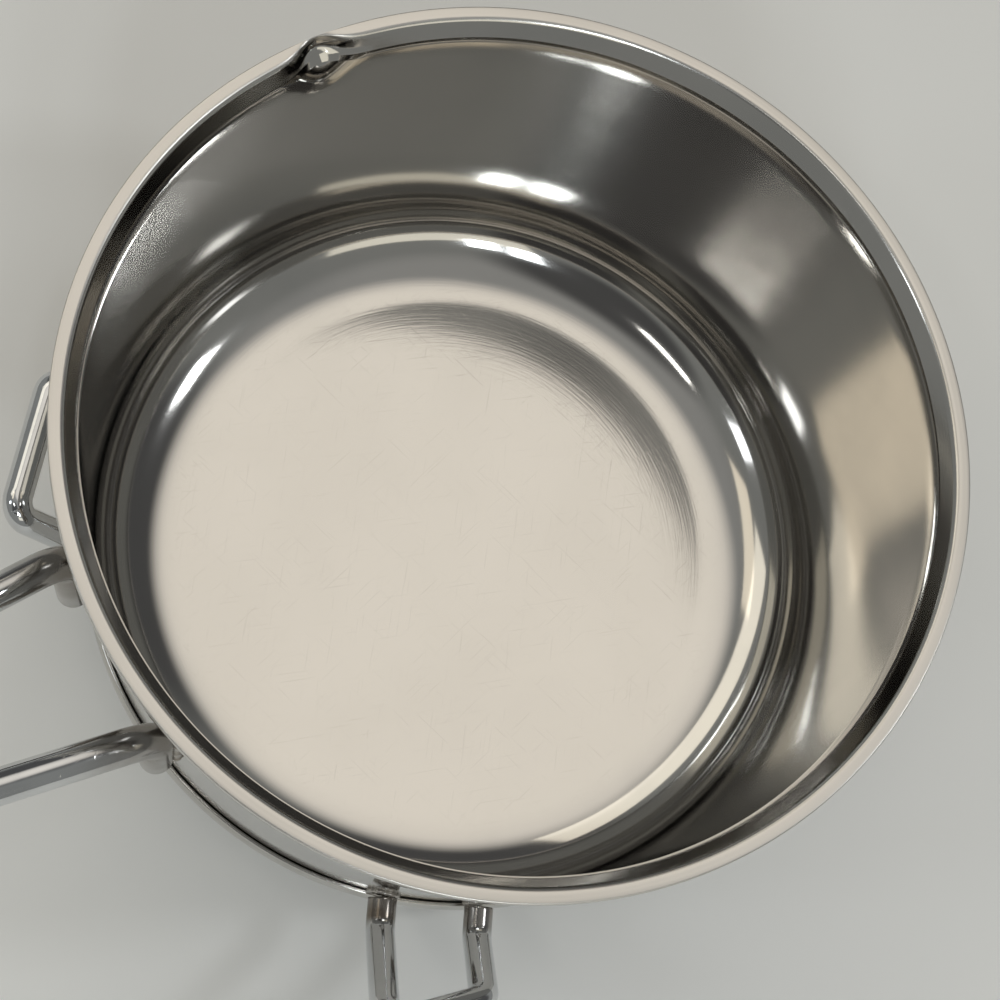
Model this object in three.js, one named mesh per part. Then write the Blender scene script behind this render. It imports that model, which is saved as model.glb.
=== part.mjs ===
// A small stainless steel butter melting pot: a drawn bowl with a pinched pouring notch, a capsule base,
// a bent wire handle and four wire lugs that let it hang over hot water in a wider pan.
// Millimetres, +Z up. The origin is the centre of the base's underside and the handle points along +X.
import * as THREE from 'three';

// Bowl, drawn from one sheet; the wall narrows by its taper from the lip down to the corner, which is a
// quarter of an ellipse, and the floor is dished a little
const POT_HEIGHT = 72;
const WALL_TOP_RADIUS = 61;
const WALL_TAPER = 2.3;
const CORNER_WIDTH = 15;
const CORNER_HEIGHT = 10;
const FLOOR_DISH = 0.6;
const BOWL_SHEET = 1;

// Rim: a lip that curves out of the wall, a nearly flat flange and a hem turned down at its edge
const LIP_DROP = 3.2;
const LIP_FLARE = 2.3;
const FLANGE_WIDTH = 1.7;
const FLANGE_CROWN = 0.4;
const HEM_LENGTH = 0.8;

// Capsule base: an aluminium heat spreader held by a steel cap
const CORE_THICKNESS = 3;
const CORE_MARGIN = 0.5;
const CAP_SHEET = 0.7;
const CAP_HEIGHT = 14.8;

// Pouring notch pinched into the lip
const SPOUT_AZIMUTH = -90;
const SPOUT_WIDTH = 9;
const SPOUT_PUSH = 3;
const SPOUT_DIP = 0.8;
const SPOUT_DEPTH = 10;

// Handle, one bent wire: tabs down the wall, a neck that draws the rods together and a grip
const HANDLE_WIRE = 5;
const HANDLE_ROOT_DROP = 15.1;
const HANDLE_ROOT_HALF = 13.9;
const HANDLE_TAB = 22;
const HANDLE_RISE = 14.9;
const NECK_LENGTH = 56;
const GRIP_LENGTH = 72;
const GRIP_HALF = 7.5;
const ROOT_BEND = 7;
const NECK_BEND = 60;

// Lugs, bent wires that leave the wall square and then turn up. Their bars run askew: the skew lengthens
// the leg on the left, seen from the bowl, and shortens the other.
const LUG_WIRE = 4.5;
const LUG_SILL = 1.45;
const LUG_STUB_BEND = 4;
const LUG_CORNER_BEND = 2.8;
const WIDE_LUG_AZIMUTH = -34.4;
const WIDE_LUG_WIDTH = 23;
const WIDE_LUG_STUB = 1.2;
const WIDE_LUG_LEG = 12.3;
const WIDE_LUG_SKEW = 1.5;
const WIDE_LUG_RISE = 50;
const NARROW_LUG_AZIMUTH = 57.2;
const NARROW_LUG_WIDTH = 15.1;
const NARROW_LUG_STUB = 5.2;
const NARROW_LUG_LEG = 18.1;
const NARROW_LUG_SKEW = -3.9;
const NARROW_LUG_RISE = 47;

// Fit and fineness
const CLEARANCE = 0.3;
const SHORTEST_RUN = 0.01;
const ROUND_STEPS = 84;
const STATION_CROWDING = 0.72;
const CURVE_STEPS = 3;
const WIRE_HALF_SIDES = 5;
const WIRE_STEP = 2;

// Heights and radii that follow from the sizes above
const bowlUnderside = CAP_SHEET + CLEARANCE + CORE_THICKNESS + CLEARANCE;
const floorTop = bowlUnderside + BOWL_SHEET;
const cornerTop = floorTop + FLOOR_DISH + CORNER_HEIGHT;
const wallFootRadius = WALL_TOP_RADIUS - WALL_TAPER;
const cornerCentre = wallFootRadius - CORNER_WIDTH;
const outerCornerWidth = CORNER_WIDTH + BOWL_SHEET;
const outerCornerHeight = cornerTop - bowlUnderside;
const lipFoot = POT_HEIGHT - LIP_DROP;
const flangeInner = WALL_TOP_RADIUS + LIP_FLARE;
const rimRadius = flangeInner + FLANGE_WIDTH;
const hemTop = POT_HEIGHT - FLANGE_CROWN - BOWL_SHEET;
const hemFoot = hemTop - HEM_LENGTH;
const lugHeight = CAP_HEIGHT + LUG_SILL + LUG_WIRE / 2;

const radians = THREE.MathUtils.degToRad;

// Outer radius of the bowl at a height: its rounded corner, then its tapered wall.
function bowlOuter(height) {
  if (height < cornerTop) {
    const below = (cornerTop - height) / outerCornerHeight;
    return cornerCentre + outerCornerWidth * Math.sqrt(1 - below ** 2);
  }
  const share = (height - cornerTop) / (lipFoot - cornerTop);
  return THREE.MathUtils.lerp(wallFootRadius, WALL_TOP_RADIUS, share) + BOWL_SHEET;
}

// The cap's corner has the bowl's outer bend, set so that its top edge clears the bowl.
const capCentreHeight = CAP_SHEET + outerCornerHeight;
const capTopAngle = (bendHeight) => Math.asin(Math.min(0, (CAP_HEIGHT - capCentreHeight) / bendHeight));
const capInside = bowlOuter(CAP_HEIGHT) + CLEARANCE;
const capCentre = capInside - outerCornerWidth * Math.cos(capTopAngle(outerCornerHeight));
const coreRadius = Math.min(capCentre, cornerCentre) - CORE_MARGIN;

// Turns a closed profile of radius and height about the Z axis.
function turned(profile) {
  const geometry = new THREE.LatheGeometry(profile.getPoints(CURVE_STEPS), ROUND_STEPS);
  return geometry.rotateX(Math.PI / 2);
}

// The sheet's section: underside, outer wall, hemmed rim, lip, inner wall and floor.
function bowlProfile() {
  const outerWall = WALL_TOP_RADIUS + BOWL_SHEET;
  const hemInner = rimRadius - BOWL_SHEET;
  const hemRound = Math.min(BOWL_SHEET, HEM_LENGTH) / 4;
  const profile = new THREE.Path();
  profile.moveTo(0, bowlUnderside);
  profile.lineTo(cornerCentre, bowlUnderside);
  profile.absellipse(cornerCentre, cornerTop, outerCornerWidth, outerCornerHeight, -Math.PI / 2, 0, false);
  profile.lineTo(outerWall, lipFoot - BOWL_SHEET);
  profile.quadraticCurveTo(outerWall, hemTop, (outerWall + hemInner) / 2, hemTop);
  profile.lineTo(hemInner, hemTop);
  profile.lineTo(hemInner, hemFoot);
  profile.lineTo(rimRadius - hemRound, hemFoot);
  profile.lineTo(rimRadius, hemFoot + hemRound);
  profile.lineTo(rimRadius, POT_HEIGHT - BOWL_SHEET);
  profile.quadraticCurveTo(rimRadius, POT_HEIGHT, rimRadius - FLANGE_WIDTH / 2, POT_HEIGHT);
  profile.lineTo(flangeInner, POT_HEIGHT - FLANGE_CROWN);
  profile.quadraticCurveTo(WALL_TOP_RADIUS, POT_HEIGHT - FLANGE_CROWN, WALL_TOP_RADIUS, lipFoot);
  profile.lineTo(wallFootRadius, cornerTop);
  profile.absellipse(cornerCentre, cornerTop, CORNER_WIDTH, CORNER_HEIGHT, 0, -Math.PI / 2, true);
  profile.quadraticCurveTo(cornerCentre / 2, floorTop, 0, floorTop);
  return profile;
}

// Crowds the turned stations towards the notch, then pinches the lip outwards and down there.
// The push fades out over the flange, so the rim's edge stays round.
function pinchSpout(geometry) {
  const place = geometry.attributes.position;
  const centre = radians(SPOUT_AZIMUTH);
  for (let i = 0; i < place.count; i += 1) {
    const radius = Math.hypot(place.getX(i), place.getY(i));
    const height = place.getZ(i);
    const turn = Math.atan2(place.getY(i), place.getX(i)) - centre;
    const angle = turn - STATION_CROWDING * Math.sin(turn);
    const along = Math.atan2(Math.sin(angle), Math.cos(angle)) * rimRadius;
    const bell = Math.exp(-((along / (SPOUT_WIDTH / 2)) ** 2));
    const rise = THREE.MathUtils.smoothstep(height, POT_HEIGHT - SPOUT_DEPTH, hemFoot);
    const inward = THREE.MathUtils.clamp((rimRadius - radius) / (rimRadius - WALL_TOP_RADIUS), 0, 1);
    const pushed = radius + SPOUT_PUSH * bell * rise * inward;
    place.setX(i, pushed * Math.cos(centre + angle));
    place.setY(i, pushed * Math.sin(centre + angle));
    place.setZ(i, height - SPOUT_DIP * bell * rise * inward);
  }
  return geometry;
}

// The cap wraps the bowl's corner and ends in a step on the wall.
function baseCap() {
  const bendWidth = outerCornerWidth + CAP_SHEET;
  const bendHeight = outerCornerHeight + CAP_SHEET;
  const outerEnd = capTopAngle(bendHeight);
  const innerEnd = capTopAngle(outerCornerHeight);
  const profile = new THREE.Path();
  profile.moveTo(0, 0);
  profile.lineTo(capCentre, 0);
  profile.absellipse(capCentre, capCentreHeight, bendWidth, bendHeight, -Math.PI / 2, outerEnd, false);
  profile.lineTo(capCentre + bendWidth * Math.cos(outerEnd), CAP_HEIGHT);
  profile.lineTo(capInside, CAP_HEIGHT);
  profile.absellipse(capCentre, capCentreHeight, outerCornerWidth, outerCornerHeight, innerEnd, -Math.PI / 2, true);
  profile.lineTo(0, CAP_SHEET);
  return turned(profile);
}

function heatSpreader() {
  const geometry = new THREE.CylinderGeometry(coreRadius, coreRadius, CORE_THICKNESS, ROUND_STEPS);
  geometry.rotateX(Math.PI / 2);
  return geometry.translate(0, 0, CAP_SHEET + CLEARANCE + CORE_THICKNESS / 2);
}

// A path of straight runs through corner points, each corner rounded to its own bend radius
// as far as the runs beside it leave room.
function bentPath(corners, bends) {
  const last = corners.length - 1;
  const path = new THREE.CurvePath();
  let from = corners[0];
  for (let i = 1; i < last; i += 1) {
    const back = corners[i - 1].clone().sub(corners[i]);
    const on = corners[i + 1].clone().sub(corners[i]);
    const backRoom = back.length() / (i > 1 ? 2 : 1);
    const onRoom = on.length() / (i < last - 1 ? 2 : 1);
    const turn = Math.PI - back.angleTo(on);
    const cut = Math.min(bends[i - 1] * Math.tan(turn / 2), backRoom, onRoom);
    const bend = cut / Math.tan(turn / 2);
    const pull = cut - (4 / 3) * Math.tan(turn / 4) * bend;
    const towards = (side, distance) => corners[i].clone().addScaledVector(side.clone().normalize(), distance);
    const start = towards(back, cut);
    if (from.distanceTo(start) > SHORTEST_RUN) path.add(new THREE.LineCurve3(from, start));
    from = towards(on, cut);
    path.add(new THREE.CubicBezierCurve3(start, towards(back, pull), towards(on, pull), from));
  }
  if (from.distanceTo(corners[last]) > SHORTEST_RUN) path.add(new THREE.LineCurve3(from, corners[last]));
  return path;
}

function wire(path, diameter) {
  const section = new THREE.Shape();
  section.absarc(0, 0, diameter / 2, 0, 2 * Math.PI, false);
  return new THREE.ExtrudeGeometry(section, {
    steps: Math.round(path.getLength() / WIRE_STEP),
    curveSegments: WIRE_HALF_SIDES,
    bevelEnabled: false,
    extrudePath: path,
  });
}

// Tab down the wall, bend, converging rods that rise to the grip, and a half-round end.
function handleLoop() {
  const rootHeight = POT_HEIGHT - HANDLE_ROOT_DROP;
  const tipHeight = rootHeight - HANDLE_TAB;
  const stand = CLEARANCE + HANDLE_WIRE / 2;
  const rootRadius = bowlOuter(rootHeight) + stand;
  const tipRadius = bowlOuter(tipHeight) + stand;
  const azimuth = Math.asin(HANDLE_ROOT_HALF / rootRadius);
  const rootX = rootRadius * Math.cos(azimuth);
  const neckX = rootX + NECK_LENGTH;
  const endX = neckX + GRIP_LENGTH;
  const rodHeight = (x) => rootHeight + (x - rootX) * Math.tan(radians(HANDLE_RISE));
  const side = (sign) => [
    new THREE.Vector3(tipRadius * Math.cos(azimuth), sign * tipRadius * Math.sin(azimuth), tipHeight),
    new THREE.Vector3(rootX, sign * HANDLE_ROOT_HALF, rootHeight),
    new THREE.Vector3(neckX, sign * GRIP_HALF, rodHeight(neckX)),
    new THREE.Vector3(endX, sign * GRIP_HALF, rodHeight(endX)),
  ];
  const corners = [...side(1), ...side(-1).reverse()];
  const bends = [ROOT_BEND, NECK_BEND, GRIP_HALF, GRIP_HALF, NECK_BEND, ROOT_BEND];
  return wire(bentPath(corners, bends), HANDLE_WIRE);
}

// One lug along +X: two square stubs, two legs that turn up and the bar that joins them.
function lug({ width, stub, leg, skew, rise }) {
  const nearSide = (width - LUG_WIRE) / 2;
  const wall = bowlOuter(lugHeight + LUG_WIRE / 2);
  const rootX = Math.sqrt(wall ** 2 - nearSide ** 2) + CLEARANCE;
  const stubX = bowlOuter(lugHeight) + stub;
  const out = Math.cos(radians(rise));
  const up = Math.sin(radians(rise));
  const side = (sign) => {
    const y = (sign * width) / 2;
    const reach = leg + sign * skew;
    return [
      new THREE.Vector3(rootX, y, lugHeight),
      new THREE.Vector3(stubX, y, lugHeight),
      new THREE.Vector3(stubX + reach * out, y, lugHeight + reach * up),
    ];
  };
  const corners = [...side(1), ...side(-1).reverse()];
  const bends = [LUG_STUB_BEND, LUG_CORNER_BEND, LUG_CORNER_BEND, LUG_STUB_BEND];
  return wire(bentPath(corners, bends), LUG_WIRE);
}

const polishedSteel = { color: 0xb9b7b2, roughness: 0.12, metalness: 1 };
const brightWire = { color: 0xc9ccce, roughness: 0.07, metalness: 1 };
const plainAluminium = { color: 0xb4b6b8, roughness: 0.45, metalness: 1 };

function piece(name, geometry, finish) {
  const mesh = new THREE.Mesh(geometry, new THREE.MeshStandardMaterial(finish));
  mesh.name = name;
  return mesh;
}

const pot = new THREE.Group();
pot.add(piece('pot_bowl', pinchSpout(turned(bowlProfile())), polishedSteel));
pot.add(piece('heat_spreader', heatSpreader(), plainAluminium));
pot.add(piece('base_cap', baseCap(), polishedSteel));
pot.add(piece('handle_loop', handleLoop(), brightWire));

const wideLug = {
  azimuth: WIDE_LUG_AZIMUTH,
  width: WIDE_LUG_WIDTH,
  stub: WIDE_LUG_STUB,
  leg: WIDE_LUG_LEG,
  skew: WIDE_LUG_SKEW,
  rise: WIDE_LUG_RISE,
};
const narrowLug = {
  azimuth: NARROW_LUG_AZIMUTH,
  width: NARROW_LUG_WIDTH,
  stub: NARROW_LUG_STUB,
  leg: NARROW_LUG_LEG,
  skew: NARROW_LUG_SKEW,
  rise: NARROW_LUG_RISE,
};

// Each kind of lug has a twin half a turn on.
[0, 180].forEach((halfTurn, pair) => {
  [wideLug, narrowLug].forEach((kind, i) => {
    const part = piece(`hanging_lug_${2 * pair + i + 1}`, lug(kind), brightWire);
    part.rotation.z = radians(kind.azimuth + halfTurn);
    pot.add(part);
  });
});

export default pot;
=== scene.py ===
# %% [markdown]
# # A butter melting pot
# A small stainless steel pot: a drawn bowl with a rolled rim and a pinched pouring notch, a capsule base,
# a bent wire handle and four wire lugs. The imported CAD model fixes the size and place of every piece, so
# it is loaded first and never moved. Blender adds what the faceted solids lack: smooth sheet metal, round
# wire with domed ends, weld beads, and finishes that change over the surface.

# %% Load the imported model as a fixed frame
import math

import bmesh
import bpy
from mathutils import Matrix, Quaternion, Vector


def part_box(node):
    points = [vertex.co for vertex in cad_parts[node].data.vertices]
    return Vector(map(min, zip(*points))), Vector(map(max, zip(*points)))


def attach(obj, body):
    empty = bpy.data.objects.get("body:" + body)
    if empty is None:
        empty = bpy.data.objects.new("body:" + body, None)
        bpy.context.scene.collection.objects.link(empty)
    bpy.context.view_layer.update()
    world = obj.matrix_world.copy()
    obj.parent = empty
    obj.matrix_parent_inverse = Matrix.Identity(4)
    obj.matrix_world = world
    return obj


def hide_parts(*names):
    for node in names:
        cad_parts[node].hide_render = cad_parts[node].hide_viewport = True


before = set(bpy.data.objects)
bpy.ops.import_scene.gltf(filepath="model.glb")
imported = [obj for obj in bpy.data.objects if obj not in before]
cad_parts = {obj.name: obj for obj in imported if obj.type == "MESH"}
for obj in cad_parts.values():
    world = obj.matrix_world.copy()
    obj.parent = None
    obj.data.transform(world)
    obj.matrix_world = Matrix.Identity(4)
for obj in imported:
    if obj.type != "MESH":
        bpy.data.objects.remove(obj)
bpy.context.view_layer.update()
MM = 0.001

# %% [markdown]
# ## Camera
# The pot is seen from above, over the handle's side, with the camera rolled. A fit of the rim, the floor
# and the rods gave the camera's place. Looking from a place at a point and then rolling says it in three
# values that a person can change, which a rotation matrix doesn't.

# %% Place the camera
CAMERA_AT = Vector((90.07, 50.92, 328.56)) * MM
LOOKS_AT = Vector((8.72, 7.48, 72.0)) * MM
CAMERA_ROLL = math.radians(34.9)
LENS = 72

camera = bpy.data.objects.new("camera", bpy.data.cameras.new("camera"))
camera.data.lens = LENS
camera.location = CAMERA_AT
aim = (LOOKS_AT - CAMERA_AT).to_track_quat("-Z", "Y")
camera.rotation_mode = "QUATERNION"
camera.rotation_quaternion = aim @ Quaternion((0, 0, 1), CAMERA_ROLL)
bpy.context.scene.collection.objects.link(camera)
bpy.context.scene.camera = camera
bpy.context.scene.view_settings.view_transform = "Standard"
print("Camera is", round((LOOKS_AT - CAMERA_AT).length / MM), "mm from the rim's plane")

# %% [markdown]
# ## Node helpers
# Shader trees and geometry trees are wired the same way: make a node, set its properties, and fill its
# inputs with values or with other nodes' outputs. Two small helpers do that, so that each tree below
# reads as a list of steps.

# %% Helpers that add nodes
def add(tree, kind, inputs=None, **settings):
    """Adds a node, sets its properties and fills its inputs with values or sockets."""
    node = tree.nodes.new(kind)
    for name, value in settings.items():
        setattr(node, name, value)
    for key, value in (inputs or {}).items():
        if isinstance(value, bpy.types.NodeSocket):
            tree.links.new(value, node.inputs[key])
        else:
            node.inputs[key].default_value = value
    return node


def calc(tree, operation, *terms):
    """One math node's output."""
    return add(tree, "ShaderNodeMath", dict(enumerate(terms)), operation=operation).outputs[0]


def step(tree, value, start, end):
    """0 before start, 1 after end, and a smooth rise between them."""
    inputs = {"Value": value, "From Min": start, "From Max": end}
    return add(tree, "ShaderNodeMapRange", inputs, interpolation_type="SMOOTHSTEP").outputs["Result"]


def new_tree(name, kind, inputs, outputs):
    """A node group with named sockets; returns the tree and its two end nodes."""
    tree = bpy.data.node_groups.new(name, kind)
    for direction, sockets in (("INPUT", inputs), ("OUTPUT", outputs)):
        for label, socket_type in sockets.items():
            tree.interface.new_socket(label, in_out=direction, socket_type=socket_type)
    return tree, tree.nodes.new("NodeGroupInput"), tree.nodes.new("NodeGroupOutput")


FLOAT = "NodeSocketFloat"
VECTOR = "NodeSocketVector"
print("Node helpers are ready")

# %% [markdown]
# ## Shared surface effects
# Pressed and polished metal is never even. Polishing on a turning lathe leaves lines that run round the
# axis, use leaves hair scratches in all directions, and handling leaves a soft haze. Every metal here has
# some of each, so each effect is a node group that is built once and placed with its own values.

# %% Lines from turning
def turned_lines_group():
    """Fine lines that run round the Z axis, on floors, walls and corners alike."""
    sockets = {"Vector": VECTOR, "Lines per metre": FLOAT, "Breaks per turn": FLOAT}
    tree, start, end = new_tree("turned_lines", "ShaderNodeTree", sockets, {"Height": FLOAT})
    place = add(tree, "ShaderNodeSeparateXYZ", {"Vector": start.outputs["Vector"]}).outputs
    squares = [calc(tree, "MULTIPLY", place[i], place[i]) for i in (0, 1)]
    radius = calc(tree, "SQRT", calc(tree, "ADD", *squares))
    turn = calc(tree, "ARCTAN2", place[1], place[0])
    across = [calc(tree, "MULTIPLY", length, start.outputs["Lines per metre"]) for length in (radius, place[2])]
    along = calc(tree, "MULTIPLY", turn, start.outputs["Breaks per turn"])
    spot = add(tree, "ShaderNodeCombineXYZ", {"X": across[0], "Y": along, "Z": across[1]})
    noise = add(tree, "ShaderNodeTexNoise", {"Vector": spot.outputs[0], "Scale": 1.0, "Detail": 3.0})
    tree.links.new(noise.outputs["Fac"], end.inputs["Height"])
    return tree


turned_lines = turned_lines_group()
print("Group", turned_lines.name, "has", len(turned_lines.nodes), "nodes")

# %% Hair scratches
SCRATCH_HEADINGS = (0.3, 1.25, 2.2, 2.85)
SCRATCH_STRETCH = 0.022


def hair_scratches_group():
    """Thin straight scratches in a few headings: noise stretched along each heading, cut near its peaks."""
    sockets = {"Vector": VECTOR, "Scale": FLOAT, "Rarity": FLOAT}
    tree, start, end = new_tree("hair_scratches", "ShaderNodeTree", sockets, {"Mask": FLOAT})
    total = 0.0
    full = calc(tree, "ADD", start.outputs["Rarity"], 0.05)
    for number, heading in enumerate(SCRATCH_HEADINGS):
        turn = {"Vector": start.outputs["Vector"], "Angle": heading}
        turned = add(tree, "ShaderNodeVectorRotate", turn, rotation_type="Z_AXIS").outputs[0]
        stretch = {0: turned, 1: (SCRATCH_STRETCH, 1.0, 1.0)}
        stretched = add(tree, "ShaderNodeVectorMath", stretch, operation="MULTIPLY").outputs[0]
        shift = {0: stretched, 1: (number * 1.7, number * 0.9, number * 2.3)}
        moved = add(tree, "ShaderNodeVectorMath", shift, operation="ADD").outputs[0]
        texture = {"Vector": moved, "Scale": start.outputs["Scale"], "Detail": 2.0, "Roughness": 0.6}
        noise = add(tree, "ShaderNodeTexNoise", texture).outputs["Fac"]
        total = calc(tree, "MAXIMUM", total, step(tree, noise, start.outputs["Rarity"], full))
    tree.links.new(total, end.inputs["Mask"])
    return tree


hair_scratches = hair_scratches_group()
print("Group", hair_scratches.name, "has", len(hair_scratches.nodes), "nodes")

# %% Haze from handling
def haze_group():
    """A soft cloudy film, clear in places and dull in others."""
    sockets = {"Vector": VECTOR, "Scale": FLOAT, "Clear": FLOAT, "Dull": FLOAT}
    tree, start, end = new_tree("handling_haze", "ShaderNodeTree", sockets, {"Haze": FLOAT})
    texture = {"Vector": start.outputs["Vector"], "Scale": start.outputs["Scale"], "Detail": 5.0}
    noise = add(tree, "ShaderNodeTexNoise", texture | {"Distortion": 0.4}).outputs["Fac"]
    cloud = step(tree, noise, 0.35, 0.7)
    inputs = {"Value": cloud, "To Min": start.outputs["Clear"], "To Max": start.outputs["Dull"]}
    tree.links.new(add(tree, "ShaderNodeMapRange", inputs).outputs["Result"], end.inputs["Haze"])
    return tree


handling_haze = haze_group()
print("Group", handling_haze.name, "has", len(handling_haze.nodes), "nodes")

# %% [markdown]
# ## Finishes
# All of the pot is bare metal, so every finish is a Principled shader with Metallic at 1. What differs is
# roughness, relief and tint. A helper starts each material and returns its tree, its shader and the
# object coordinates that all patterns are read from.

# %% A helper that starts a metal
def metal(name):
    material = bpy.data.materials.new(name)
    material.use_nodes = True
    tree = material.node_tree
    shader = tree.nodes["Principled BSDF"]
    shader.inputs["Metallic"].default_value = 1.0
    place = add(tree, "ShaderNodeTexCoord").outputs["Object"]
    return material, tree, shader, place


def place_effect(tree, group, **inputs):
    """Places a shared effect and returns its output."""
    node = tree.nodes.new("ShaderNodeGroup")
    node.node_tree = group
    for key, value in inputs.items():
        socket = node.inputs[key.replace("_", " ")]
        if isinstance(value, bpy.types.NodeSocket):
            tree.links.new(value, socket)
        else:
            socket.default_value = value
    return node.outputs[0]


def blend(tree, share, first, second):
    """A number that goes from first to second."""
    return add(tree, "ShaderNodeMix", {"Factor": share, "A": first, "B": second}).outputs["Result"]


def tint(tree, share, first, second):
    """A colour that goes from first to second."""
    node = tree.nodes.new("ShaderNodeMix")
    node.data_type = "RGBA"
    sockets = {s.identifier: s for s in node.inputs}
    for key, value in (("Factor_Float", share), ("A_Color", first), ("B_Color", second)):
        if isinstance(value, bpy.types.NodeSocket):
            tree.links.new(value, sockets[key])
        else:
            sockets[key].default_value = value
    return next(s for s in node.outputs if s.identifier == "Result_Color")


def relief(tree, shader, height, depth):
    bump = add(tree, "ShaderNodeBump", {"Height": height, "Strength": 1.0, "Distance": depth})
    tree.links.new(bump.outputs["Normal"], shader.inputs["Normal"])


print("Finish helpers are ready")

# %% [markdown]
# ## Bowl steel
# The bowl's wall is polished bright, its floor is a little duller and the top of its flange is satin. One
# material tells them apart by radius and height, which is safe because the pot stands in its own frame.
# The floor also shows hair scratches, and a few near-black dots of painted shade for small pits that have no depth.

# %% Sizes of the bowl
bowl_low, bowl_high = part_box("pot_bowl")
RIM_RADIUS = bowl_high.x
POT_HEIGHT = bowl_high.z
BOWL_SHEET = 1.0 * MM
FLOOR_TOP = bowl_low.z + BOWL_SHEET
FLOOR_DISH = 0.6 * MM
CORNER_WIDTH = 15.0 * MM
CORNER_TOP = FLOOR_TOP + FLOOR_DISH + 10.0 * MM
OUTER_CORNER = (CORNER_WIDTH + BOWL_SHEET, CORNER_TOP - bowl_low.z)
FLANGE_WIDTH = 1.7 * MM
LIP_TOP_RADIUS = RIM_RADIUS - FLANGE_WIDTH
WALL_TOP_RADIUS = LIP_TOP_RADIUS - 2.3 * MM
WALL_FOOT_RADIUS = WALL_TOP_RADIUS - 2.3 * MM
CORNER_CENTRE = WALL_FOOT_RADIUS - CORNER_WIDTH
LIP_FOOT = POT_HEIGHT - 3.2 * MM
print("Rim radius", round(RIM_RADIUS / MM, 1), "mm, height", round(POT_HEIGHT / MM, 1), "mm")

# %% Where the bowl's outer wall is
def bowl_outer(height):
    """Outer radius of the bowl at a height: its rounded corner, then its tapered wall."""
    if height < CORNER_TOP:
        below = (CORNER_TOP - height) / OUTER_CORNER[1]
        return CORNER_CENTRE + OUTER_CORNER[0] * math.sqrt(1 - below ** 2)
    share = (height - CORNER_TOP) / (LIP_FOOT - CORNER_TOP)
    return WALL_FOOT_RADIUS + (WALL_TOP_RADIUS - WALL_FOOT_RADIUS) * share + BOWL_SHEET


def bowl_inside(radius):
    """Height of the steel inside the bowl: a floor dished a little, which turns up into a quarter ellipse."""
    dish = FLOOR_DISH / CORNER_CENTRE ** 2
    corner_rise = CORNER_TOP - FLOOR_TOP - dish * WALL_FOOT_RADIUS ** 2
    across = max(0.0, radius - CORNER_CENTRE) / CORNER_WIDTH
    return FLOOR_TOP + dish * radius ** 2 + corner_rise * (1 - math.sqrt(max(0.0, 1 - across ** 2)))


print("Outer wall at mid height:", round(bowl_outer(POT_HEIGHT / 2) / MM, 2), "mm")

# %% Finish of the bowl
def bowl_steel_finish():
    material, tree, shader, place = metal("bowl_steel")
    axes = add(tree, "ShaderNodeSeparateXYZ", {"Vector": place}).outputs
    flat = add(tree, "ShaderNodeCombineXYZ", {"X": axes[0], "Y": axes[1]}).outputs[0]
    radius = add(tree, "ShaderNodeVectorMath", {0: flat}, operation="LENGTH").outputs["Value"]
    above_floor = step(tree, axes[2], FLOOR_TOP + 0.5 * MM, FLOOR_TOP + 1.7 * MM)
    floor = calc(tree, "SUBTRACT", 1.0, above_floor)
    on_flange = step(tree, radius, LIP_TOP_RADIUS - 0.65 * MM, LIP_TOP_RADIUS - 0.1 * MM)
    at_top = step(tree, axes[2], POT_HEIGHT - 1.2 * MM, POT_HEIGHT - 0.8 * MM)
    flange = calc(tree, "MULTIPLY", on_flange, at_top)
    satin = calc(tree, "MAXIMUM", floor, flange)

    lines = place_effect(tree, turned_lines, Vector=place, Lines_per_metre=2600.0, Breaks_per_turn=5.0)
    scratches = place_effect(tree, hair_scratches, Vector=place, Scale=3800.0, Rarity=0.66)
    haze = place_effect(tree, handling_haze, Vector=place, Scale=38.0, Clear=0.0, Dull=1.0)
    floor_scratches = calc(tree, "MULTIPLY", scratches, floor)

    bare = blend(tree, flange, blend(tree, floor, 0.075, 0.12), 0.3)
    hazed = calc(tree, "MULTIPLY_ADD", haze, 0.02, bare)
    scratched = calc(tree, "MULTIPLY_ADD", floor_scratches, 0.04, hazed)
    tree.links.new(scratched, shader.inputs["Roughness"])

    # Painted shade: rare near-black dots on the floor stand for the shade inside small pits.
    cells = add(tree, "ShaderNodeTexVoronoi", {"Vector": place, "Scale": 60.0})
    rare = calc(tree, "GREATER_THAN", add(tree, "ShaderNodeSeparateColor", {0: cells.outputs["Color"]}).outputs[0], 0.86)
    near = calc(tree, "LESS_THAN", cells.outputs["Distance"], 0.018)
    pit_shade = calc(tree, "MULTIPLY", calc(tree, "MULTIPLY", rare, near), floor)
    polished = tint(tree, haze, (0.60, 0.585, 0.56, 1.0), (0.55, 0.54, 0.52, 1.0))
    brushed = tint(tree, haze, (0.69, 0.67, 0.635, 1.0), (0.67, 0.65, 0.615, 1.0))
    clean = tint(tree, satin, polished, brushed)
    marked = tint(tree, calc(tree, "MULTIPLY", floor_scratches, 0.12), clean, (0.4, 0.38, 0.35, 1.0))
    pit_shaded = tint(tree, pit_shade, marked, (0.03, 0.025, 0.02, 1.0))
    tree.links.new(pit_shaded, shader.inputs["Base Color"])

    grain = calc(tree, "MULTIPLY", lines, blend(tree, satin, 0.12, 1.0))
    height = calc(tree, "MULTIPLY_ADD", floor_scratches, -0.1, grain)
    relief(tree, shader, height, 0.008 * MM)
    return material


bowl_steel = bowl_steel_finish()
print("Finish", bowl_steel.name, "has", len(bowl_steel.node_tree.nodes), "nodes")
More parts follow.
